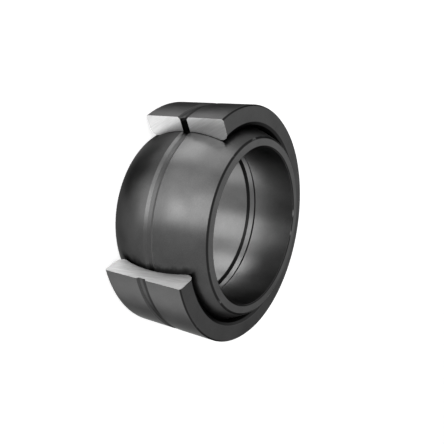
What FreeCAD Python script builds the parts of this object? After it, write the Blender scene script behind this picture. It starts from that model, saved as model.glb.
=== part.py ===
import FreeCAD, Part
import math
import os

import Sketcher

# Spherical plain bearing, steel on steel. The inner ring is a ball with a shaft bore, and it
# swivels in the spherical raceway of the outer ring. A sector of the outer ring is sawn out,
# so that the ball shows in the window.
# Z is the bearing axis and the origin is the centre of the sphere. Lengths are in millimetres
# and angles in degrees.

SIZES = {
    "bore_dia": 80,  # shaft bore of the inner ring
    "inner_wall": 12.5,  # inner ring at its middle plane, from the bore to the sphere
    "inner_width": 55,  # inner ring along the axis
    "outer_wall": 7.5,  # outer ring at its middle plane, from the sphere to the outside
    "outer_width": 45,  # outer ring along the axis
    "race_clearance": 0.05,  # radial gap between the sphere and the raceway
    "race_chamfer": 3.4,  # chamfer from the raceway to each end face
    "race_chamfer_break": 1,  # smaller breaks that round off both edges of that chamfer
    "rim_chamfer": 0.8,  # chamfer from the outside diameter to each end face
    "bore_chamfer": 0.5,  # break of the bore at each end face
    "ball_chamfer": 0.75,  # break of the sphere at each end face
    "rim_groove_width": 5.6,  # oil groove round the outside diameter, at its mouth
    "rim_groove_depth": 0.9,
    "rim_groove_flank": 45,  # slope of a groove's sides, from the radial direction
    "ball_groove_width": 5.6,  # oil groove round the sphere, at its mouth
    "ball_groove_depth": 0.8,
    "ball_groove_flank": 65,
    "bore_groove_width": 6.2,  # oil groove in the bore, at its mouth
    "bore_groove_depth": 1.3,
    "bore_groove_flank": 53,
    "oil_hole_dia": 4,  # radial oil holes of both rings
    "oil_hole_sink_dia": 6.2,  # countersink of the outer ring's oil holes, at its rim
    "oil_hole_count": 2,  # oil holes of each ring, evenly spaced
    "window_angle": 80,  # sector that is missing from the outer ring
    "window_middle": 270,  # direction of the window's middle, from +X towards +Y
}

BORE_R = "(Dims.bore_dia / 2)"
BALL_R = f"({BORE_R} + Dims.inner_wall)"
RACE_R = f"({BALL_R} + Dims.race_clearance)"
RIM_R = f"({BALL_R} + Dims.outer_wall)"

FULL_TURN = 360
SINK_ANGLE = 90
OVERCUT = 1  # how far a groove's profile stands clear of the surface that it cuts
SAME = 1e-4  # two lengths this close are the same length

doc = FreeCAD.newDocument("spherical_plain_bearing")
dims = doc.addObject("Spreadsheet::Sheet", "Dims")
for row, (name, size) in enumerate(SIZES.items(), start=1):
    dims.set(f"A{row}", name)
    dims.set(f"B{row}", str(size))
    dims.setAlias(f"B{row}", name)
doc.recompute()


def value(expression):
    """The number that an expression over the sheet gives."""
    return float(dims.evalExpression(expression))


def new_body(name):
    body = doc.addObject("PartDesign::Body", name)
    body.Label = name
    return body


def origin_feature(body, role):
    return next(item for item in body.Origin.OriginFeatures if item.Role == role)


def new_sketch(body, name, plane):
    sketch = body.newObject("Sketcher::SketchObject", name)
    sketch.AttachmentSupport = [(origin_feature(body, plane), "")]
    sketch.MapMode = "FlatFace"
    return sketch


def drive(sketch, kind, references, expression):
    """Adds a size to a sketch and binds it to the sheet."""
    constraint = Sketcher.Constraint(kind, *references, value(expression))
    index = sketch.addConstraint(constraint)
    sketch.setExpression(f"Constraints[{index}]", expression)


def line(sketch, start, end):
    points = [FreeCAD.Vector(*point, 0) for point in (start, end)]
    return sketch.addGeometry(Part.LineSegment(*points))


def arc(sketch, radius, start_angle, end_angle):
    circle = Part.Circle(FreeCAD.Vector(), FreeCAD.Vector(0, 0, 1), radius)
    return sketch.addGeometry(Part.ArcOfCircle(circle, start_angle, end_angle))


def join(sketch, *ends):
    """Makes pairs of curve ends coincide; each end is (curve, 1 for its start or 2 for its end)."""
    for first, second in ends:
        sketch.addConstraint(Sketcher.Constraint("Coincident", *first, *second))


def sketch_origin():
    """How a constraint refers to the sketch's own origin."""
    return (-1, 1)


def centre_on_axis(sketch, *lines):
    """Centres upright lines on the sketch's horizontal axis, which constraints know as curve -1."""
    for upright in lines:
        sketch.addConstraint(Sketcher.Constraint("Symmetric", upright, 1, upright, 2, -1))


def turned_ring(body, wall_r, sphere_r, width):
    """A ring with one straight wall and one spherical wall, centred on the middle plane."""
    sketch = new_sketch(body, f"{body.Name}_section", "XZ_Plane")
    wall = value(wall_r)
    sphere = value(sphere_r)
    half = value(width) / 2
    reach = math.asin(half / sphere)
    edge = sphere * math.cos(reach)
    wall_line = line(sketch, (wall, -half), (wall, half))
    top = line(sketch, (wall, half), (edge, half))
    ball = arc(sketch, sphere, -reach, reach)
    bottom = line(sketch, (edge, -half), (wall, -half))
    join(
        sketch,
        ((wall_line, 2), (top, 1)),
        ((top, 2), (ball, 2)),
        ((ball, 1), (bottom, 1)),
        ((bottom, 2), (wall_line, 1)),
        ((ball, 3), sketch_origin()),
    )
    for face in (top, bottom):
        sketch.addConstraint(Sketcher.Constraint("Horizontal", face))
    centre_on_axis(sketch, wall_line)
    drive(sketch, "DistanceX", (*sketch_origin(), wall_line, 2), wall_r)
    drive(sketch, "DistanceY", (wall_line, 1, wall_line, 2), width)
    drive(sketch, "Radius", (ball,), sphere_r)
    ring = body.newObject("PartDesign::Revolution", f"{body.Name}_blank")
    ring.Profile = sketch
    ring.ReferenceAxis = (sketch, ["V_Axis"])
    ring.Angle = FULL_TURN
    doc.recompute()


def rims(shape):
    """The radius and the height of every edge that runs right round the axis, by its name."""
    found = {}
    for number, edge in enumerate(shape.Edges, start=1):
        if edge.isClosed() and edge.BoundBox.ZLength < SAME:
            corner = edge.Vertexes[0]
            found[f"Edge{number}"] = (math.hypot(corner.X, corner.Y), corner.Z)
    return found


def rims_at(feature, radius):
    """Names of the rims of one radius."""
    return [name for name, rim in rims(feature.Shape).items() if abs(rim[0] - value(radius)) < SAME]


def new_rims(feature):
    """Names of the rims that a feature added to the shape that it was given."""
    old = rims(feature.BaseFeature.Shape).values()
    return [name for name, rim in rims(feature.Shape).items() if all(math.dist(rim, at) > SAME for at in old)]


def chamfer(body, name, edge_names, size):
    """Chamfers some of the body's edges by the same distance on both sides."""
    feature = body.newObject("PartDesign::Chamfer", name)
    feature.Base = (feature.BaseFeature, edge_names)
    feature.setExpression("Size", size)
    doc.recompute()


def oil_groove(body, name, surface_r, inward):
    """An oil groove with sloped sides; inward is 1 on an outside surface and -1 in a bore."""
    slope = f"2 * tan(Dims.{name}_flank)"
    floor_r = f"({surface_r} - {inward} * Dims.{name}_depth)"
    mouth_r = f"({surface_r} + {inward * OVERCUT})"
    floor_width = f"(Dims.{name}_width - {slope} * Dims.{name}_depth)"
    mouth_width = f"(Dims.{name}_width + {slope} * {OVERCUT})"
    sketch = new_sketch(body, f"{name}_section", "XZ_Plane")
    at_floor, at_mouth = value(floor_r), value(mouth_r)
    floor_half, mouth_half = value(floor_width) / 2, value(mouth_width) / 2
    floor = line(sketch, (at_floor, -floor_half), (at_floor, floor_half))
    upper = line(sketch, (at_floor, floor_half), (at_mouth, mouth_half))
    mouth = line(sketch, (at_mouth, mouth_half), (at_mouth, -mouth_half))
    lower = line(sketch, (at_mouth, -mouth_half), (at_floor, -floor_half))
    join(
        sketch,
        ((floor, 2), (upper, 1)),
        ((upper, 2), (mouth, 1)),
        ((mouth, 2), (lower, 1)),
        ((lower, 2), (floor, 1)),
    )
    centre_on_axis(sketch, floor, mouth)
    drive(sketch, "DistanceX", (*sketch_origin(), floor, 2), floor_r)
    drive(sketch, "DistanceX", (*sketch_origin(), mouth, 1), mouth_r)
    drive(sketch, "DistanceY", (floor, 1, floor, 2), floor_width)
    drive(sketch, "DistanceY", (mouth, 2, mouth, 1), mouth_width)
    groove = body.newObject("PartDesign::Groove", name)
    groove.Profile = sketch
    groove.ReferenceAxis = (sketch, ["V_Axis"])
    groove.Angle = FULL_TURN
    doc.recompute()


def oil_holes(body, surface_r, wall, sink_dia=None):
    """Radial holes from the outer surface right through the wall, the first one along +X."""
    sketch = new_sketch(body, f"{body.Name}_oil_hole_centre", "YZ_Plane")
    sketch.setExpression("AttachmentOffset.Base.z", surface_r)
    centre = FreeCAD.Vector()
    radius = "Dims.oil_hole_dia / 2"
    circle = sketch.addGeometry(Part.Circle(centre, FreeCAD.Vector(0, 0, 1), value(radius)))
    join(sketch, ((circle, 3), sketch_origin()))
    drive(sketch, "Radius", (circle,), radius)
    doc.recompute()
    hole = body.newObject("PartDesign::Hole", f"{body.Name}_oil_hole")
    hole.Profile = sketch
    hole.DepthType = "Dimension"
    hole.DrillPoint = "Flat"
    hole.setExpression("Diameter", "Dims.oil_hole_dia")
    hole.setExpression("Depth", f"{wall} + Dims.oil_hole_dia")
    if sink_dia:
        hole.HoleCutType = "Countersink"
        hole.HoleCutCountersinkAngle = SINK_ANGLE
        hole.setExpression("HoleCutDiameter", sink_dia)
    doc.recompute()
    pattern = body.newObject("PartDesign::PolarPattern", f"{body.Name}_oil_holes")
    pattern.Originals = [hole]
    pattern.Axis = (origin_feature(body, "Z_Axis"), [""])
    pattern.Angle = FULL_TURN
    pattern.setExpression("Occurrences", "Dims.oil_hole_count")
    body.Tip = pattern
    doc.recompute()


def sawn_window(body, beyond_r):
    """Takes a sector out of the ring, from +X round to the window angle, between two radial cuts."""
    sketch = new_sketch(body, "window_sector", "XY_Plane")
    angle = math.radians(value("Dims.window_angle"))
    reach = value(beyond_r)
    first = line(sketch, (0, 0), (reach, 0))
    round_side = arc(sketch, reach, 0, angle)
    second = line(sketch, (reach * math.cos(angle), reach * math.sin(angle)), (0, 0))
    join(
        sketch,
        ((first, 1), sketch_origin()),
        ((first, 2), (round_side, 1)),
        ((round_side, 3), sketch_origin()),
        ((round_side, 2), (second, 1)),
        ((second, 2), sketch_origin()),
    )
    sketch.addConstraint(Sketcher.Constraint("Horizontal", first))
    drive(sketch, "Radius", (round_side,), beyond_r)
    index = sketch.addConstraint(Sketcher.Constraint("Angle", first, 1, second, 2, angle))
    sketch.setExpression(f"Constraints[{index}]", "Dims.window_angle * 1 deg")
    window = body.newObject("PartDesign::Pocket", "window")
    window.Profile = sketch
    window.Type = "ThroughAll"
    window.SideType = "Symmetric"
    doc.recompute()


# The inner ring: a ball turned flat at both ends, bored through, with an oil groove outside
# and one inside that its oil holes join.
inner_ring = new_body("inner_ring")
turned_ring(inner_ring, BORE_R, BALL_R, "Dims.inner_width")
BALL_EDGE_R = f"sqrt({BALL_R} ^ 2 - (Dims.inner_width / 2) ^ 2)"
chamfer(inner_ring, "bore_breaks", rims_at(inner_ring.Tip, BORE_R), "Dims.bore_chamfer")
chamfer(inner_ring, "ball_breaks", rims_at(inner_ring.Tip, BALL_EDGE_R), "Dims.ball_chamfer")
oil_groove(inner_ring, "ball_groove", BALL_R, 1)
oil_groove(inner_ring, "bore_groove", BORE_R, -1)
oil_holes(inner_ring, BALL_R, "Dims.inner_wall")

# The outer ring: a cylinder outside and a spherical raceway inside, with its oil groove and
# holes. The window starts at the middle of the first oil hole.
outer_ring = new_body("outer_ring")
turned_ring(outer_ring, RIM_R, RACE_R, "Dims.outer_width")
RACE_EDGE_R = f"sqrt({RACE_R} ^ 2 - (Dims.outer_width / 2) ^ 2)"
chamfer(outer_ring, "race_chamfers", rims_at(outer_ring.Tip, RACE_EDGE_R), "Dims.race_chamfer")
chamfer(outer_ring, "race_chamfer_breaks", new_rims(outer_ring.Tip), "Dims.race_chamfer_break")
chamfer(outer_ring, "rim_chamfers", rims_at(outer_ring.Tip, RIM_R), "Dims.rim_chamfer")
oil_groove(outer_ring, "rim_groove", RIM_R, 1)
oil_holes(outer_ring, RIM_R, "Dims.outer_wall", "Dims.oil_hole_sink_dia")
sawn_window(outer_ring, f"2 * {RIM_R}")
outer_ring.Placement = FreeCAD.Placement(FreeCAD.Vector(), FreeCAD.Rotation(FreeCAD.Vector(0, 0, 1), 1))
outer_ring.setExpression(
    "Placement.Rotation.Angle", "(Dims.window_middle - Dims.window_angle / 2) * 1 deg"
)
doc.recompute()

for item in doc.Objects:
    if "Invalid" in item.State or "Error" in item.State:
        raise RuntimeError(f"{item.Name} did not compute")
    if item.TypeId in ("PartDesign::Groove", "PartDesign::Hole", "PartDesign::Pocket"):
        if item.Shape.Volume >= item.BaseFeature.Shape.Volume:
            raise RuntimeError(f"{item.Name} cut nothing")

os.makedirs("parts", exist_ok=True)
for body in (inner_ring, outer_ring):
    shape = body.Shape
    if shape.isNull() or not shape.isValid() or len(shape.Solids) != 1:
        raise RuntimeError(f"{body.Label} is not one sound solid")
    shape.exportStep(f"parts/{body.Label}.step")
    box = shape.BoundBox
    print(f"{body.Label}: {shape.Volume:.0f} mm3, {box.XLength:.2f} x {box.YLength:.2f} x {box.ZLength:.2f} mm")
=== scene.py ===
# %% [markdown]
# # A spherical plain bearing, finished for its photograph
#
# This bearing has two rings of steel. The inner ring is a ball with a shaft bore, and it swivels
# in the outer ring, whose raceway is hollow to match. A sector of the outer ring is sawn out, so
# that the ball shows. The construction model gives both rings their exact shapes, with every
# groove, oil hole and chamfer. The rings stay as they are, and this script gives them what the
# construction model lacks: their finishes, and a small studio to see them in.
#
# The first step loads the rings and measures them. The size is kept, because nothing that is
# done here may change it.

# %% Load the two rings
import math
import bpy
from mathutils import Matrix, Vector


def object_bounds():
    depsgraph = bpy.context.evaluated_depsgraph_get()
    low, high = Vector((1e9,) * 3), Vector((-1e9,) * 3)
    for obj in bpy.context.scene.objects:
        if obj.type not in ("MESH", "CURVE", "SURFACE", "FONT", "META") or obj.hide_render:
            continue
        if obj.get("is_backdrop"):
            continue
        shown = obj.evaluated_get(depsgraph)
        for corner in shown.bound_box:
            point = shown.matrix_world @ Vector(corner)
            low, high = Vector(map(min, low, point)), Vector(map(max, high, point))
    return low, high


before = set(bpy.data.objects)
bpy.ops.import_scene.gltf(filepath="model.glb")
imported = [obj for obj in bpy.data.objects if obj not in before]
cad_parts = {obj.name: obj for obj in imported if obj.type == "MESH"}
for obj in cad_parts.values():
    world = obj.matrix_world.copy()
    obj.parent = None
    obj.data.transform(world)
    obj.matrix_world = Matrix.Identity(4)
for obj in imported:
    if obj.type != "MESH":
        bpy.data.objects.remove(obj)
bpy.ops.object.select_all(action="DESELECT")
inner_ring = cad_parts["inner_ring"]
outer_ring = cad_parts["outer_ring"]
solid_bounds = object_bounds()
lowest, highest = solid_bounds
MM = 0.001
print("the bearing measures, in mm:", [round(side / MM, 1) for side in highest - lowest])

# %% [markdown]
# ## Where the faces of the rings are
#
# The finishes below have to know where each face of a ring lies. That could be copied from the
# drawing, but it is safer to measure it on the rings, because then the finishes follow when a
# size is changed. Both rings lie round the Z axis, with the ball's centre at the origin. So the
# corner of the inner ring that is nearest to the axis is on the bore, and the one that is
# farthest from the origin is on the ball. In the same way the outer ring gives its outside. The
# corners of a mesh lie right on a curved face, so this is exact.
#
# The two saw cuts are flat faces that point straight out from the axis, so each is placed by an
# angle round it. The upper one in the picture runs through the middle of an oil hole.

# %% Measure the rings
ball_corners = [corner.co / MM for corner in inner_ring.data.vertices]
ring_corners = [corner.co / MM for corner in outer_ring.data.vertices]
BORE_RADIUS = round(min(corner.xy.length for corner in ball_corners), 2)
BALL_RADIUS = round(max(corner.length for corner in ball_corners), 2)
BALL_TOP = round(max(corner.z for corner in ball_corners), 2)
OUTSIDE_RADIUS = round(max(corner.xy.length for corner in ring_corners), 2)
RING_TOP = round(max(corner.z for corner in ring_corners), 2)
UPPER_CUT = 230    # degrees round the axis, as are all angles of cuts and holes
LOWER_CUT = 310
print("radii of bore, ball and outside, in mm:", BORE_RADIUS, BALL_RADIUS, OUTSIDE_RADIUS)
print("the end faces are this far from the middle, in mm:", BALL_TOP, RING_TOP)

# %% [markdown]
# ## The camera
#
# The bearing lies on one end face here, and the camera looks down at it from the side of the
# sawn sector. In the picture the bearing seems to stand on edge. A bearing could be turned to get
# that, but then nothing in the construction model would line up any more, so the camera is
# rolled on its side instead. Where it stands, what it aims at, its roll and its lens were found
# by fitting the outlines of the rings to the photograph, so they are plain numbers.

# %% Place the camera
CAMERA_DISTANCE = 283.13 * MM
CAMERA_SIDE = math.radians(7.3505)
CAMERA_HEIGHT = math.radians(32.873)
CAMERA_AIM = Vector((0.465, 2.719, 4.247)) * MM
CAMERA_ROLL = math.radians(100.02)
LENS_LENGTH_MM = 43.307
SENSOR_WIDTH_MM = 36

camera_lens = bpy.data.cameras.new("camera")
camera_lens.lens = LENS_LENGTH_MM
camera_lens.sensor_width = SENSOR_WIDTH_MM
camera = bpy.data.objects.new("camera", camera_lens)
bpy.context.scene.collection.objects.link(camera)
camera.location = CAMERA_DISTANCE * Vector((
    math.sin(CAMERA_SIDE) * math.cos(CAMERA_HEIGHT),
    -math.cos(CAMERA_SIDE) * math.cos(CAMERA_HEIGHT),
    math.sin(CAMERA_HEIGHT),
))
level_view = (CAMERA_AIM - camera.location).to_track_quat("-Z", "Y")
camera.rotation_mode = "QUATERNION"
camera.rotation_quaternion = level_view @ Matrix.Rotation(CAMERA_ROLL, 3, "Z").to_quaternion()
bpy.context.scene.camera = camera
print("the camera stands at, in mm:", [round(place / MM, 1) for place in camera.location])

# %% [markdown]
# ## Helpers for nodes
#
# Every finish below is a small network of nodes. A network can be drawn by hand in the shader
# editor, and in a script each node takes one line to add, one for each setting and one for each
# link. Two helpers keep that short. The first adds a node and fills its inputs, with a link
# where it is given another node's output and with a plain value otherwise. The second does one
# sum with a Math node, and gives the result, ready for the next node.

# %% Helpers that add nodes
def add_node(tree, kind, inputs=None, **settings):
    """Adds a node with its settings, and links or fills the inputs that are given."""
    node = tree.nodes.new(kind)
    for name, value in settings.items():
        setattr(node, name, value)
    for socket, value in (inputs or {}).items():
        if isinstance(value, bpy.types.NodeSocket):
            tree.links.new(value, node.inputs[socket])
        else:
            node.inputs[socket].default_value = value
    return node


def work_out(tree, operation, *values):
    """Gives the result of one sum, done by a Math node."""
    node = add_node(tree, "ShaderNodeMath", dict(enumerate(values)), operation=operation)
    return node.outputs["Value"]


print("helpers for nodes: add_node and work_out")

# %% [markdown]
# ## The floor
#
# The floor is a sheet of matt white paper. The photograph's background is pure white, and lamps
# alone would have to be far too strong for that, so the paper also glows, but only for the rays
# that come from the camera. The object's soft shadow still falls on it.
#
# In the photograph the bearing stands on edge, with soft boxes all round it. Here it lies flat,
# so some of those soft boxes are lower than the floor. The paper works like the top of a light
# table: it lets their light through, and the steel mirrors the same white from the world
# behind it.

# %% Lay the floor
FLOOR_SIDE = 4.0
PAPER_WHITE = 0.9
PAPER_GLOW = 0.62

bpy.ops.mesh.primitive_plane_add(size=FLOOR_SIDE, location=(0, 0, lowest.z))
floor = bpy.context.object
floor.name = "floor"
bpy.ops.object.select_all(action="DESELECT")
floor.visible_glossy = False
floor.visible_shadow = False
floor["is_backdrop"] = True

paper = bpy.data.materials.new("white_paper")
paper.use_nodes = True
paper_shader = paper.node_tree.nodes["Principled BSDF"]
paper_shader.inputs["Base Color"].default_value = (PAPER_WHITE, PAPER_WHITE, PAPER_WHITE, 1)
paper_shader.inputs["Roughness"].default_value = 1
paper_shader.inputs["Emission Color"].default_value = (1, 1, 1, 1)
paper_ray = add_node(paper.node_tree, "ShaderNodeLightPath")
paper_glow = work_out(paper.node_tree, "MULTIPLY", paper_ray.outputs["Is Camera Ray"], PAPER_GLOW)
paper.node_tree.links.new(paper_glow, paper_shader.inputs["Emission Strength"])
floor.data.materials.append(paper)
print("the floor lies at, in mm:", round(lowest.z / MM, 1))

# %% [markdown]
# ## The world
#
# The world is the room behind everything. The camera sees it as white, and so do mirror and
# glass rays, because steel that is photographed on white shows that white. Its light on matt
# things is weaker, or it would fill the shadow that the lamps throw on the paper.

# %% Light the world
ROOM_LIGHT = 0.4

world = bpy.data.worlds.new("studio")
bpy.context.scene.world = world
world.use_nodes = True
room = world.node_tree
room_ray = add_node(room, "ShaderNodeLightPath")
seen = work_out(room, "MAXIMUM", room_ray.outputs["Is Camera Ray"], room_ray.outputs["Is Glossy Ray"])
seen = work_out(room, "MAXIMUM", seen, room_ray.outputs["Is Transmission Ray"])
room_level = add_node(room, "ShaderNodeMapRange", {"Value": seen, "To Min": ROOM_LIGHT, "To Max": 1.0})
background = room.nodes["Background"]
background.inputs["Color"].default_value = (1, 1, 1, 1)
room.links.new(room_level.outputs["Result"], background.inputs["Strength"])
print("the room is white to the camera, and lights the paper at", ROOM_LIGHT)

# %% [markdown]
# ## The soft boxes
#
# Dark steel has hardly any colour of its own. What the eye reads as its shape is the mirror
# image of the lamps, drawn out into soft bands. So the bands in the photograph tell where the
# soft boxes stood: a large group in front of the sawn sector and to its left, a weaker one to
# the right, and two faint ones behind. Each is given by its direction from the bearing, its
# size, and the level at which it would light a white card that faces it. A lamp's power follows
# from that level and its distance alone. Together with the room they light a matt card at about
# its own shade, as the mean over all directions, with more light from the front than behind.

# %% Hang the soft boxes
LAMP_DISTANCE = 0.8
SOFT_BOXES = {
    # direction round the axis and above the floor in degrees, width and height in m, level
    "front_high": (-89, 30, 0.48, 0.55, 0.46),
    "front": (-89, 0, 0.48, 0.50, 0.29),
    "front_low": (-89, -32, 0.48, 0.60, 0.29),
    "front_left": (-118, 0, 0.30, 1.00, 0.22),
    "front_small": (-85, -4, 0.22, 0.22, 0.11),
    "left": (-152, 8, 0.45, 0.35, 0.20),
    "left_low": (-152, -19, 0.42, 0.40, 0.40),
    "right": (4, -28, 0.45, 0.50, 0.14),
    "back": (110, 25, 0.50, 0.40, 0.06),
    "left_back": (173, -36, 0.14, 0.30, 0.07),
}


def direction(turn, rise):
    """Gives the unit vector for an angle round the bore's axis and one above the floor."""
    turn = math.radians(turn)
    rise = math.radians(rise)
    return Vector((math.cos(turn) * math.cos(rise), math.sin(turn) * math.cos(rise), math.sin(rise)))


for name, (turn, rise, width, height, level) in SOFT_BOXES.items():
    towards = direction(turn, rise)
    soft_box = bpy.data.lights.new("soft_box_" + name, "AREA")
    soft_box.shape = "RECTANGLE"
    soft_box.size = width
    soft_box.size_y = height
    soft_box.energy = level * math.pi ** 2 * LAMP_DISTANCE ** 2
    stand = bpy.data.objects.new("soft_box_" + name, soft_box)
    bpy.context.scene.collection.objects.link(stand)
    stand.location = towards * LAMP_DISTANCE
    stand.rotation_euler = towards.to_track_quat("Z", "Y").to_euler()
    stand.visible_camera = False
    print(f"{name}: {soft_box.energy:.2f} W")

# %% [markdown]
# ## Two black cards
#
# Polished steel in a white room looks white all over, and loses its shape. A photographer holds
# black cards beside it, just out of the picture, and the steel mirrors them as dark bands along
# its edges. Darker paint could fake that, but it would stay in place when the ring turns. Two
# cards are held up here: one below, which darkens the ball's lower limb, and one behind, which
# darkens the far end of the outside. Only mirror rays see them, so they take no light from the
# floor and cast no shadow.

# %% Hold up the black cards
CARD_DISTANCE = 0.6
CARD_SHADE = 0.01
BLACK_CARDS = {
    # direction round the axis and above the floor in degrees, side of the card in m
    "card_below": (-150, -67, 0.32),
    "card_behind": (134, -36, 0.40),
}

card_black = bpy.data.materials.new("card_black")
card_black.use_nodes = True
card_shader = card_black.node_tree.nodes["Principled BSDF"]
card_shader.inputs["Base Color"].default_value = (CARD_SHADE, CARD_SHADE, CARD_SHADE, 1)
card_shader.inputs["Roughness"].default_value = 1
for name, (turn, rise, side) in BLACK_CARDS.items():
    towards = direction(turn, rise)
    facing = towards.to_track_quat("Z", "Y").to_euler()
    bpy.ops.mesh.primitive_plane_add(size=side, location=towards * CARD_DISTANCE, rotation=facing)
    card = bpy.context.object
    card.name = name
    card.visible_camera = False
    card.visible_diffuse = False
    card.visible_shadow = False
    card.data.materials.append(card_black)
    card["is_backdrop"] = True
    print(f"{name}: {side:.2f} m wide, {CARD_DISTANCE} m away")
bpy.ops.object.select_all(action="DESELECT")

# %% [markdown]
# ## The marks of turning
#
# Both rings were turned on a lathe, and then ground. The tool leaves fine lines that run round
# the ring, one for every turn of the work. They could be modelled, but there are hundreds of
# them, each a few micrometres deep, so they are a bump pattern.
#
# The lines run round the axis on every face: they are circles of one radius on the flat end
# faces, and circles of one height on the bore, the ball and the outside. The sum of radius and
# height changes across the lines on all of these, so one noise over that sum draws them all. A
# node group holds it, because both rings use it.

# %% A group for turning marks
def start_group(name, inputs, outputs):
    """Makes an empty node group, and gives it with its own input and output nodes."""
    group = bpy.data.node_groups.new(name, "ShaderNodeTree")
    for label, value in inputs.items():
        socket = group.interface.new_socket(label, in_out="INPUT", socket_type="NodeSocketFloat")
        socket.default_value = value
    for label in outputs:
        group.interface.new_socket(label, in_out="OUTPUT", socket_type="NodeSocketFloat")
    return group, group.nodes.new("NodeGroupInput"), group.nodes.new("NodeGroupOutput")


def surface_point(tree):
    """Gives each point of the surface, in metres from the middle of the bearing."""
    return add_node(tree, "ShaderNodeTexCoord").outputs["Object"]


def radius_and_height(tree, point):
    """Gives a point's distance from the bore's axis and its height."""
    parts = add_node(tree, "ShaderNodeSeparateXYZ", {"Vector": point})
    across = add_node(tree, "ShaderNodeCombineXYZ", {"X": parts.outputs["X"], "Y": parts.outputs["Y"]})
    radius = add_node(tree, "ShaderNodeVectorMath", {0: across.outputs["Vector"]}, operation="LENGTH")
    return radius.outputs["Value"], parts.outputs["Z"]


turning_marks, given, result = start_group("turning_marks", {"Feed": 0.35 * MM}, ["Height"])
radius, height = radius_and_height(turning_marks, surface_point(turning_marks))
across_lines = work_out(turning_marks, "ADD", radius, height)
lines = add_node(
    turning_marks, "ShaderNodeTexNoise",
    {
        "W": work_out(turning_marks, "DIVIDE", across_lines, given.outputs["Feed"]),
        "Scale": 1.0,
        "Detail": 3.0,
        "Roughness": 0.6,
    },
    noise_dimensions="1D",
)
turning_marks.links.new(lines.outputs["Fac"], result.inputs["Height"])
print("turning_marks has", len(turning_marks.nodes), "nodes")

# %% [markdown]
# ## The grain of the phosphate coat
#
# The dark colour is a manganese phosphate coat, a skin of tiny crystals that holds oil. It is
# never quite even: the crystals make a fine mottling, and oil and handling leave soft patches a
# finger wide. Two noises at those two sizes give both, and the materials below use them to
# vary the colour and the gloss.

# %% A group for the phosphate grain
phosphate_grain, given, result = start_group(
    "phosphate_grain", {"Crystal Size": 0.4 * MM, "Patch Size": 12 * MM}, ["Crystals", "Patches"])
point = surface_point(phosphate_grain)
for label, size, detail in (("Crystals", "Crystal Size", 4.0), ("Patches", "Patch Size", 3.0)):
    noise = add_node(phosphate_grain, "ShaderNodeTexNoise", {
        "Vector": point,
        "Scale": work_out(phosphate_grain, "DIVIDE", 1.0, given.outputs[size]),
        "Detail": detail,
        "Roughness": 0.55,
    })
    phosphate_grain.links.new(noise.outputs["Fac"], result.inputs[label])
print("phosphate_grain has", len(phosphate_grain.nodes), "nodes")

# %% [markdown]
# ## Dark rims of oil and painted shade, with rubbed spots and painted glints
#
# A thin dark line runs along each rim of the real rings. The small chamfer there turns away from
# the lamps, and oil and dust stay on it, so the line is partly oil and partly painted shade. In a
# few places hands and tools have rubbed the coat off a rim, and grey steel shows, so those spots
# are partly wear and partly painted glints. Rims are often found by looking for sharp edges, but
# on a ring whose mesh is loose triangles that finds nothing useful. A rim of a turned ring is a
# circle, with one radius and one height, so a point's distance from that circle says how near
# the rim it is. A smooth step turns that distance into a soft mask, and a noise a few
# millimetres wide picks the rubbed spots with their painted glints.

# %% A group for rims
DARKEST_SHARE = 0.4
RUBBED_AND_GLINT_SPOT = 6 * MM
RUBBED_AND_GLINT_FROM = 0.64
RUBBED_AND_GLINT_FULLY = 0.74


def step_smoothly(tree, value, none_at, full_at):
    """Goes from 0 to 1 while the value goes from none_at to full_at."""
    node = add_node(
        tree, "ShaderNodeMapRange", {"Value": value, "From Min": none_at, "From Max": full_at},
        interpolation_type="SMOOTHSTEP")
    return node.outputs["Result"]


# the rims' mask carries oil and painted shade, its rubbed spots wear and painted glints
ring_rim, given, result = start_group(
    "ring_rim", {"Radius": OUTSIDE_RADIUS * MM, "Height": RING_TOP * MM, "Reach": 0.6 * MM},
    ["Rim", "Rubbed And Glint"])
point = surface_point(ring_rim)
radius, height = radius_and_height(ring_rim, point)
outwards = work_out(ring_rim, "SUBTRACT", radius, given.outputs["Radius"])
upwards = work_out(ring_rim, "SUBTRACT", work_out(ring_rim, "ABSOLUTE", height), given.outputs["Height"])
away = add_node(ring_rim, "ShaderNodeCombineXYZ", {"X": outwards, "Y": upwards})
from_rim = add_node(ring_rim, "ShaderNodeVectorMath", {0: away.outputs["Vector"]}, operation="LENGTH")
darkest = work_out(ring_rim, "MULTIPLY", given.outputs["Reach"], DARKEST_SHARE)
near_rim = step_smoothly(ring_rim, from_rim.outputs["Value"], given.outputs["Reach"], darkest)
ring_rim.links.new(near_rim, result.inputs["Rim"])
spots = add_node(
    ring_rim, "ShaderNodeTexNoise", {"Vector": point, "Scale": 1 / RUBBED_AND_GLINT_SPOT, "Detail": 3.0})
spots = add_node(ring_rim, "ShaderNodeMapRange", {
    "Value": spots.outputs["Fac"], "From Min": RUBBED_AND_GLINT_FROM, "From Max": RUBBED_AND_GLINT_FULLY})
rubbed_and_glint = work_out(ring_rim, "MULTIPLY", near_rim, spots.outputs["Result"])
ring_rim.links.new(rubbed_and_glint, result.inputs["Rubbed And Glint"])
print("ring_rim has", len(ring_rim.nodes), "nodes")

# %% [markdown]
# ## Bands of one turned face
#
# The photograph shows each face of the rings in its own grey. The bore and the outside are
# ground to size before coating, so the coat on them is thin and light. The raceway, in the gap
# between the rings, is painted dark as shade, and painted shade blackens parts of the grooves. A
# mesh could carry a material slot for each face, but the rings' meshes stay as the construction
# model gives them. A turned face lies between two radii and two heights, so a group makes a mask
# of such a band, and the materials give each band its shade. A band starts with a sharp edge at
# its lower end, or fades in there over some millimetres.

# %% A group for a band
SHARP = 0.01    # a fade this short, in mm, makes a sharp edge

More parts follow.
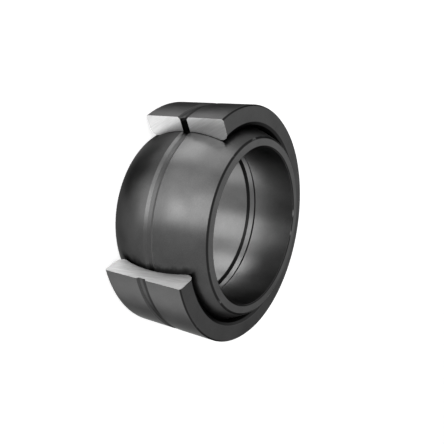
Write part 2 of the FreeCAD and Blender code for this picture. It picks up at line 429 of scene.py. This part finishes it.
turned_band, given, result = start_group(
    "turned_band",
    {"Inner Radius": 0.0, "Outer Radius": 1.0, "Lowest": -1.0, "Highest": 1.0, "Fade": SHARP * MM},
    ["Mask"],
)
radius, height = radius_and_height(turned_band, surface_point(turned_band))
inside = work_out(turned_band, "LESS_THAN", radius, given.outputs["Outer Radius"])
outside = work_out(turned_band, "GREATER_THAN", radius, given.outputs["Inner Radius"])
under_top = work_out(turned_band, "LESS_THAN", height, given.outputs["Highest"])
faded_in = work_out(turned_band, "ADD", given.outputs["Lowest"], given.outputs["Fade"])
over_bottom = step_smoothly(turned_band, height, given.outputs["Lowest"], faded_in)
between_radii = work_out(turned_band, "MULTIPLY", inside, outside)
between_heights = work_out(turned_band, "MULTIPLY", under_top, over_bottom)
in_band = work_out(turned_band, "MULTIPLY", between_radii, between_heights)
turned_band.links.new(in_band, result.inputs["Mask"])
print("turned_band has", len(turned_band.nodes), "nodes")

# %% [markdown]
# ## Many bands on one ring
#
# A ring starts with one shade and one roughness all over. Each band of a table then lays its own
# over them, one after the other, so where two bands overlap, the later one covers the earlier
# one. The helper for that is a blend, which goes from one value to another where a mask says so.

# %% Lay bands over a ring
def blend(tree, mask, below, above):
    """Gives the first value where the mask is 0, and the second where it is 1."""
    node = add_node(tree, "ShaderNodeMix", {"Factor": mask, "A": below, "B": above}, data_type="FLOAT")
    return node.outputs["Result"]


def lay_bands(tree, shade, roughness, bands):
    """Gives a ring's shade and roughness with its bands laid over them."""
    for inner_radius, outer_radius, bottom, top, fade, band_shade, band_roughness in bands:
        band = add_node(tree, "ShaderNodeGroup", {
            "Inner Radius": inner_radius * MM,
            "Outer Radius": outer_radius * MM,
            "Lowest": bottom * MM,
            "Highest": top * MM,
            "Fade": fade * MM,
        }, node_tree=turned_band)
        shade = blend(tree, band.outputs["Mask"], shade, band_shade)
        roughness = blend(tree, band.outputs["Mask"], roughness, band_roughness)
    return shade, roughness


print("a row for a band: two radii, two heights, a fade, a shade and a roughness")

# %% [markdown]
# ## The saw cuts
#
# The sector was sawn out after coating and the two cut faces were ground flat, so they are bare
# bright steel with straight grinding lines. A bare face could have a material slot of its own,
# but again the mesh stays untouched. Its place gives it away as well: turned back about the
# axis by the cut's own angle, every point of a cut face comes to lie on one plane. The same
# turned coordinates, slanted and stretched along the face, draw the lines.

# %% A group for a saw cut
CUT_FLATNESS = 0.05 * MM
LINE_WIDTH = 0.9 * MM
LINE_LENGTH = 14 * MM


def turn_back(tree, point, angle):
    """Turns the points about the bore's axis, so that those at the angle come to lie along +X."""
    backwards = work_out(tree, "MULTIPLY", angle, -1.0)
    node = add_node(
        tree, "ShaderNodeVectorRotate", {"Vector": point, "Angle": backwards}, rotation_type="Z_AXIS")
    return node.outputs["Vector"]


saw_cut, given, result = start_group("saw_cut", {"Angle": 0.0, "Slant": 0.0}, ["Mask", "Lines"])
turned = turn_back(saw_cut, surface_point(saw_cut), given.outputs["Angle"])
parts = add_node(saw_cut, "ShaderNodeSeparateXYZ", {"Vector": turned})
from_plane = work_out(saw_cut, "ABSOLUTE", parts.outputs["Y"])
on_plane = work_out(saw_cut, "LESS_THAN", from_plane, CUT_FLATNESS)
on_side = work_out(saw_cut, "GREATER_THAN", parts.outputs["X"], 0.0)
saw_cut.links.new(work_out(saw_cut, "MULTIPLY", on_plane, on_side), result.inputs["Mask"])
slanted = add_node(
    saw_cut, "ShaderNodeVectorRotate", {"Vector": turned, "Angle": given.outputs["Slant"]},
    rotation_type="Y_AXIS")
lines_per_metre = (1 / LINE_WIDTH, 0.0, 1 / LINE_LENGTH)
stretched = add_node(
    saw_cut, "ShaderNodeVectorMath", {0: slanted.outputs["Vector"], 1: lines_per_metre},
    operation="MULTIPLY")
grinding = add_node(saw_cut, "ShaderNodeTexNoise", {
    "Vector": stretched.outputs["Vector"], "Scale": 1.0, "Detail": 4.0, "Roughness": 0.75})
saw_cut.links.new(grinding.outputs["Fac"], result.inputs["Lines"])
print("saw_cut has", len(saw_cut.nodes), "nodes")

# %% [markdown]
# ## The oil holes
#
# Grease reaches the raceway through small drilled holes. Inside they are painted black, as the
# shade deep in a hole, even where the saw has opened one along its length and the lamps shine
# in. A hole runs straight out from the axis, so turned back by its own angle it lies along +X,
# and a point's distance from that line says whether it is on the hole's wall. The mask ends at
# the hole's mouth, or it would blacken the groove round it too.

# %% A group for the oil holes
HOLE_WALL_RADIUS = 2.1 * MM

oil_hole, given, result = start_group(
    "oil_hole", {"Angle": 0.0, "Mouth": OUTSIDE_RADIUS * MM}, ["Mask"])
point = surface_point(oil_hole)
radius, _ = radius_and_height(oil_hole, point)
turned = turn_back(oil_hole, point, given.outputs["Angle"])
across = add_node(
    oil_hole, "ShaderNodeVectorMath", {0: turned, 1: (0.0, 1.0, 1.0)}, operation="MULTIPLY")
from_line = add_node(oil_hole, "ShaderNodeVectorMath", {0: across.outputs["Vector"]}, operation="LENGTH")
near_line = work_out(oil_hole, "LESS_THAN", from_line.outputs["Value"], HOLE_WALL_RADIUS)
before_mouth = work_out(oil_hole, "LESS_THAN", radius, given.outputs["Mouth"])
oil_hole.links.new(work_out(oil_hole, "MULTIPLY", near_line, before_mouth), result.inputs["Mask"])
print("oil_hole has", len(oil_hole.nodes), "nodes")

# %% [markdown]
# ## A noise with a range of its own
#
# Dirt, crystals and grinding lines all vary about a middle value. A noise texture gives numbers
# from 0 to 1, but hardly any of them come near 0 or 1, so a mask made from it directly looks
# flat. The helper below spreads the part that matters over the range that is wanted.

# %% A helper for noises
NOISE_LOW = 0.3
NOISE_HIGH = 0.7


def stretch_noise(tree, noise, lowest_value, highest_value):
    """Spreads a noise, which seldom leaves 0.3 to 0.7, over the wanted range."""
    node = add_node(tree, "ShaderNodeMapRange", {
        "Value": noise, "From Min": NOISE_LOW, "From Max": NOISE_HIGH,
        "To Min": lowest_value, "To Max": highest_value})
    return node.outputs["Result"]


print("a noise is spread from", NOISE_LOW, "to", NOISE_HIGH, "over the wanted range")

# %% [markdown]
# ## Painted shade beside the cuts
#
# Where the ball comes out from under the outer ring, a dark ragged line of painted shade lies on
# it, as in the gap between the rings. A cast shadow alone leaves this line too thin and too even.
# The group below measures how far a point of the ball is from the plane of a cut, and a noise
# makes that reach uneven. The line fades out towards the ends of the ball, where nothing covered
# it.

# %% A group for painted shade beside a cut
# the lumps, reach and ends of the painted shade beside the cuts
PAINTED_SHADE_LUMP = 5 * MM
PAINTED_SHADE_SOLID_SHARE = 0.2
LEAST_REACH_SHARE = 0.6
MOST_REACH_SHARE = 1.3
BALL_INSIDE = (BORE_RADIUS + 5) * MM
PAINTED_SHADE_FULL_HEIGHT = (RING_TOP - 4.5) * MM
PAINTED_SHADE_END_HEIGHT = (RING_TOP + 2) * MM

cut_painted_shade, given, result = start_group("cut_painted_shade", {"Angle": 0.0, "Reach": 4 * MM}, ["Mask"])
point = surface_point(cut_painted_shade)
turned = turn_back(cut_painted_shade, point, given.outputs["Angle"])
parts = add_node(cut_painted_shade, "ShaderNodeSeparateXYZ", {"Vector": turned})
lumps = add_node(cut_painted_shade, "ShaderNodeTexNoise", {
    "Vector": point, "Scale": 1 / PAINTED_SHADE_LUMP, "Detail": 4.0, "Roughness": 0.6})
unevenness = stretch_noise(cut_painted_shade, lumps.outputs["Fac"], LEAST_REACH_SHARE, MOST_REACH_SHARE)
reach = work_out(cut_painted_shade, "MULTIPLY", unevenness, given.outputs["Reach"])
solid_reach = work_out(cut_painted_shade, "MULTIPLY", reach, PAINTED_SHADE_SOLID_SHARE)
from_cut = work_out(cut_painted_shade, "ABSOLUTE", parts.outputs["Y"])
from_middle = work_out(cut_painted_shade, "ABSOLUTE", parts.outputs["Z"])
beside_cut = step_smoothly(cut_painted_shade, from_cut, reach, solid_reach)
on_ball = work_out(cut_painted_shade, "GREATER_THAN", parts.outputs["X"], BALL_INSIDE)
under_ring = step_smoothly(cut_painted_shade, from_middle, PAINTED_SHADE_END_HEIGHT, PAINTED_SHADE_FULL_HEIGHT)
shaded_beside_cut = work_out(cut_painted_shade, "MULTIPLY", beside_cut, on_ball)
cut_painted_shade.links.new(work_out(cut_painted_shade, "MULTIPLY", shaded_beside_cut, under_ring), result.inputs["Mask"])
print("cut_painted_shade has", len(cut_painted_shade.nodes), "nodes")

# %% [markdown]
# ## Phosphated steel
#
# Both rings share one recipe. The colour is dark, because the coat swallows light, and the
# shader is metallic, so that the lamps show as soft grey bands without a milky veil. The
# specular tint is dark as well: a bare metal brightens where it is seen edge on, and a coat of
# crystals doesn't.
#
# Each ring starts with its own main shade and its bands, some of which carry painted shade and one
# painted light. Patches and crystals vary their colour, and patches their gloss. The rims, dark
# with oil and painted shade and rubbed with wear and painted glints, and the oil holes, black with
# painted shade, come on top, and the turning lines and the crystals give the bump. No roughness is
# under 0.28, because on smoother metal the denoiser leaves blotches.

# %% A recipe for phosphated steel
COAT_ROUGHNESS = 0.29
DRY_ROUGHNESS = 0.04
PATCH_SPREAD = 0.10
CRYSTAL_SPREAD = 0.12
CRYSTAL_BUMP = 0.5
# the rims: partly oil, partly painted shade; their rubbed spots: partly wear, partly painted glints
RIM_OIL_AND_PAINTED_SHADE = 0.02
RUBBED_AND_GLINT_SHADE = 0.16
# painted shade inside the oil holes
HOLE_PAINTED_SHADE = 0.006


def phosphated_steel(name, shade, bands, rims, hole_angles, hole_mouth):
    """Starts a finish, and gives it with its shade, roughness and bump height."""
    finish = bpy.data.materials.new(name)
    finish.use_nodes = True
    tree = finish.node_tree
    shade, roughness = lay_bands(tree, shade, COAT_ROUGHNESS, bands)
    grain = add_node(tree, "ShaderNodeGroup", node_tree=phosphate_grain)
    patches = stretch_noise(tree, grain.outputs["Patches"], 1 - PATCH_SPREAD, 1 + PATCH_SPREAD)
    crystals = stretch_noise(tree, grain.outputs["Crystals"], 1 - CRYSTAL_SPREAD, 1 + CRYSTAL_SPREAD)
    dryness = stretch_noise(tree, grain.outputs["Patches"], 0.0, DRY_ROUGHNESS)
    shade = work_out(tree, "MULTIPLY", shade, work_out(tree, "MULTIPLY", patches, crystals))
    roughness = work_out(tree, "ADD", roughness, dryness)
    for rim_radius, rim_height, reach in rims:
        rim = add_node(tree, "ShaderNodeGroup", {
            "Radius": rim_radius * MM,
            "Height": rim_height * MM,
            "Reach": reach * MM,
        }, node_tree=ring_rim)
        # painted shade along the rims, partly oil, and painted glints on their rubbed spots, partly wear
        shade = blend(tree, rim.outputs["Rim"], shade, RIM_OIL_AND_PAINTED_SHADE)
        shade = blend(tree, rim.outputs["Rubbed And Glint"], shade, RUBBED_AND_GLINT_SHADE)
    for hole_angle in hole_angles:
        hole = add_node(tree, "ShaderNodeGroup", {
            "Angle": math.radians(hole_angle), "Mouth": hole_mouth * MM}, node_tree=oil_hole)
        # painted shade inside the oil holes
        shade = blend(tree, hole.outputs["Mask"], shade, HOLE_PAINTED_SHADE)
    marks = add_node(tree, "ShaderNodeGroup", node_tree=turning_marks)
    pits = work_out(tree, "MULTIPLY", grain.outputs["Crystals"], CRYSTAL_BUMP)
    bump = work_out(tree, "ADD", marks.outputs["Height"], pits)
    return finish, shade, roughness, bump


print("the coat's roughness:", COAT_ROUGHNESS, "where oily, up to", DRY_ROUGHNESS, "more where dry")

# %% [markdown]
# ## From a finish to its shader
#
# The recipe stops before the shader, so that a ring can first add marks of its own: grime on the
# ball, bare cuts on the outer ring. A second function then connects what has been worked out.
# Shade, roughness and bump change over the surface, so they come in through links. What is the
# same all over, how metallic it is and the tint of its edges, is set on the shader itself.

# %% Connect a finish to its shader
BUMP_DEPTH = 0.01 * MM
BUMP_STRENGTH = 0.25
EDGE_SHADE = 0.4


def complete(finish, shade, roughness, bump):
    """Connects a finish to its shader."""
    tree = finish.node_tree
    shader = tree.nodes["Principled BSDF"]
    colour = add_node(tree, "ShaderNodeCombineColor", {"Red": shade, "Green": shade, "Blue": shade})
    relief = add_node(tree, "ShaderNodeBump", {
        "Height": bump, "Distance": BUMP_DEPTH, "Strength": BUMP_STRENGTH})
    shader.inputs["Metallic"].default_value = 1
    shader.inputs["Specular Tint"].default_value = (EDGE_SHADE, EDGE_SHADE, EDGE_SHADE, 1)
    tree.links.new(colour.outputs["Color"], shader.inputs["Base Color"])
    tree.links.new(roughness, shader.inputs["Roughness"])
    tree.links.new(relief.outputs["Normal"], shader.inputs["Normal"])
    print(finish.name, "has", len(tree.nodes), "nodes")


print("the bump is", round(BUMP_DEPTH / MM, 3), "mm deep, at", BUMP_STRENGTH, "of its full strength")

# %% [markdown]
# ## The inner ring's finish
#
# The ball is dark and evenly coated. The bore is ground, so its coat is lighter and a little
# glossier. Its near half is painted darker, as shade, so it is lightest in the half that lies
# deeper in the picture, and the lower flank of its oil groove is painted black, as shade. The
# ball's own groove is only turned, so its upper flank is rougher than the ground ball beside it,
# and painted light makes it lighter. The painted shade beside the two cuts comes last, on top of
# the rest.

# %% Finish the inner ring
BALL_SHADE = 0.070
CUT_PAINTED_SHADE = 0.012
PAST_BALL = BALL_TOP + 0.5    # a height beyond the end faces
END_FACE_RADIUS = math.sqrt(BALL_RADIUS ** 2 - BALL_TOP ** 2)    # where the ball meets its end face
BALL_BANDS = (
    # each: radii from and to, heights from and to and fade in mm, shade, roughness
    # the bore and its groove
    (BORE_RADIUS - 1, BORE_RADIUS + 1.6, -PAST_BALL, PAST_BALL, SHARP, 0.127, 0.28),
    # the near half of the bore, painted darker as shade
    (BORE_RADIUS - 1, BORE_RADIUS + 0.1, 2, PAST_BALL, 12, 0.095, 0.28),
    # the lower flank of the bore's groove, painted black as shade
    (BORE_RADIUS + 0.1, BORE_RADIUS + 1.25, -PAST_BALL, 0, SHARP, 0.012, 0.28),
    # the end face that shows
    (BORE_RADIUS, BORE_RADIUS + 5, BALL_TOP - 0.05, PAST_BALL, SHARP, 0.083, 0.29),
    # the end face that it lies on
    (BORE_RADIUS, BORE_RADIUS + 5, -PAST_BALL, 0.05 - BALL_TOP, SHARP, 0.083, 0.29),
    # the upper flank of the ball's groove: rougher as it is turned, and lighter as painted light
    (BALL_RADIUS - 0.78, BALL_RADIUS - 0.1, 0, 3, SHARP, 0.115, 0.55),
)
BALL_RIMS = (
    # radius, height and reach in mm
    (END_FACE_RADIUS - 0.12, BALL_TOP - 0.4, 0.8),    # between the end face and the ball
    (BORE_RADIUS + 0.3, BALL_TOP - 0.2, 0.5),         # between the end face and the bore
)
BALL_HOLE_ANGLES = (0, 180)
BALL_HOLE_MOUTH = BALL_RADIUS - 0.9
CUT_PAINTED_SHADES = (
    # cut, reach of the painted shade in mm
    (UPPER_CUT, 0.9),
    (LOWER_CUT, 5.0),
)

ball_phosphate, shade, roughness, bump = phosphated_steel(
    "ball_phosphate", BALL_SHADE, BALL_BANDS, BALL_RIMS, BALL_HOLE_ANGLES, BALL_HOLE_MOUTH)
# painted shade beside the cuts, where the ball comes out from under the outer ring
for cut_angle, painted_shade_reach in CUT_PAINTED_SHADES:
    shade_beside_cut = add_node(ball_phosphate.node_tree, "ShaderNodeGroup", {
        "Angle": math.radians(cut_angle), "Reach": painted_shade_reach * MM}, node_tree=cut_painted_shade)
    shade = blend(ball_phosphate.node_tree, shade_beside_cut.outputs["Mask"], shade, CUT_PAINTED_SHADE)
complete(ball_phosphate, shade, roughness, bump)
inner_ring.data.materials[0] = ball_phosphate

# %% [markdown]
# ## The outer ring's finish
#
# The outer ring has the same coat. Its raceway and chamfers, in the gap between the rings, are
# painted darker than its end faces, as shade, and its ground outside is lighter. Painted shade
# darkens one side of the oil groove's floor, towards its upper lip. On the two saw cuts there is
# no coat at all. The photograph shows slanted fine lines and a silky gloss on one, and a duller
# grey on the other, so each has its own roughness and its own shades for the dark and the light
# lines; the lower cut's darker shades are painted shade on the same bare steel. Bare steel is
# never pure white: shades from about 0.3 to 0.7 look like metal under plain light.

# %% Finish the outer ring
RING_SHADE = 0.061
PAST_RING = RING_TOP + 0.5    # a height beyond the end faces
RACEWAY_EDGE = math.sqrt(BALL_RADIUS ** 2 - RING_TOP ** 2)    # where the raceway meets the end face
RING_BANDS = (
    # each: radii from and to, heights from and to and fade in mm, shade, roughness
    # the raceway and its chamfers, painted dark as the shade between the rings
    (0, OUTSIDE_RADIUS - 1.1, 0.1 - RING_TOP, RING_TOP - 0.1, SHARP, 0.025, 0.29),
    # the ground outside
    (OUTSIDE_RADIUS - 0.15, OUTSIDE_RADIUS + 1, -PAST_RING, PAST_RING, SHARP, 0.082, 0.29),
    # painted shade on the oil groove's floor, towards its upper lip
    (OUTSIDE_RADIUS - 1, OUTSIDE_RADIUS - 0.7, -0.4, 2.3, 1, 0.032, 0.29),
)
RING_RIMS = (
    # radius, height and reach in mm
    (OUTSIDE_RADIUS - 0.4, RING_TOP - 0.4, 0.55),    # between the end face and the outside
    (RACEWAY_EDGE + 0.07, RING_TOP - 0.1, 0.6),      # between the end face and the raceway
)
RING_HOLE_ANGLES = (UPPER_CUT - 180, UPPER_CUT)
RING_HOLE_MOUTH = OUTSIDE_RADIUS - 2.6
CUTS = (
    # cut, slant of its lines in degrees, roughness, shades of the dark and the light lines
    (UPPER_CUT, -28, 0.35, 0.52, 0.70),
    # the lower cut's darker shades are painted shade on the same bare steel
    (LOWER_CUT, 8, 0.55, 0.31, 0.51),
)

ring_phosphate, shade, roughness, bump = phosphated_steel(
    "ring_phosphate", RING_SHADE, RING_BANDS, RING_RIMS, RING_HOLE_ANGLES, RING_HOLE_MOUTH)
tree = ring_phosphate.node_tree
for cut_angle, slant, cut_roughness, dark_line, light_line in CUTS:
    cut = add_node(tree, "ShaderNodeGroup", {
        "Angle": math.radians(cut_angle), "Slant": math.radians(slant)}, node_tree=saw_cut)
    bare_steel = stretch_noise(tree, cut.outputs["Lines"], dark_line, light_line)
    shade = blend(tree, cut.outputs["Mask"], shade, bare_steel)
    roughness = blend(tree, cut.outputs["Mask"], roughness, cut_roughness)
    bump = blend(tree, cut.outputs["Mask"], bump, cut.outputs["Lines"])
complete(ring_phosphate, shade, roughness, bump)
outer_ring.data.materials[0] = ring_phosphate

# %% [markdown]
# ## Measure the finished bearing
#
# The picture is shown as it is lit, with the standard view. The last step measures the finished
# bearing once more and prints its size. It is the same as at the start, because the finishes add
# no shape.

# %% Measure the finished bearing
bpy.context.scene.view_settings.view_transform = "Standard"
finished_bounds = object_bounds()
finished_size = finished_bounds[1] - finished_bounds[0]
print("the finished bearing measures, in mm:", [round(side / MM, 1) for side in finished_size])
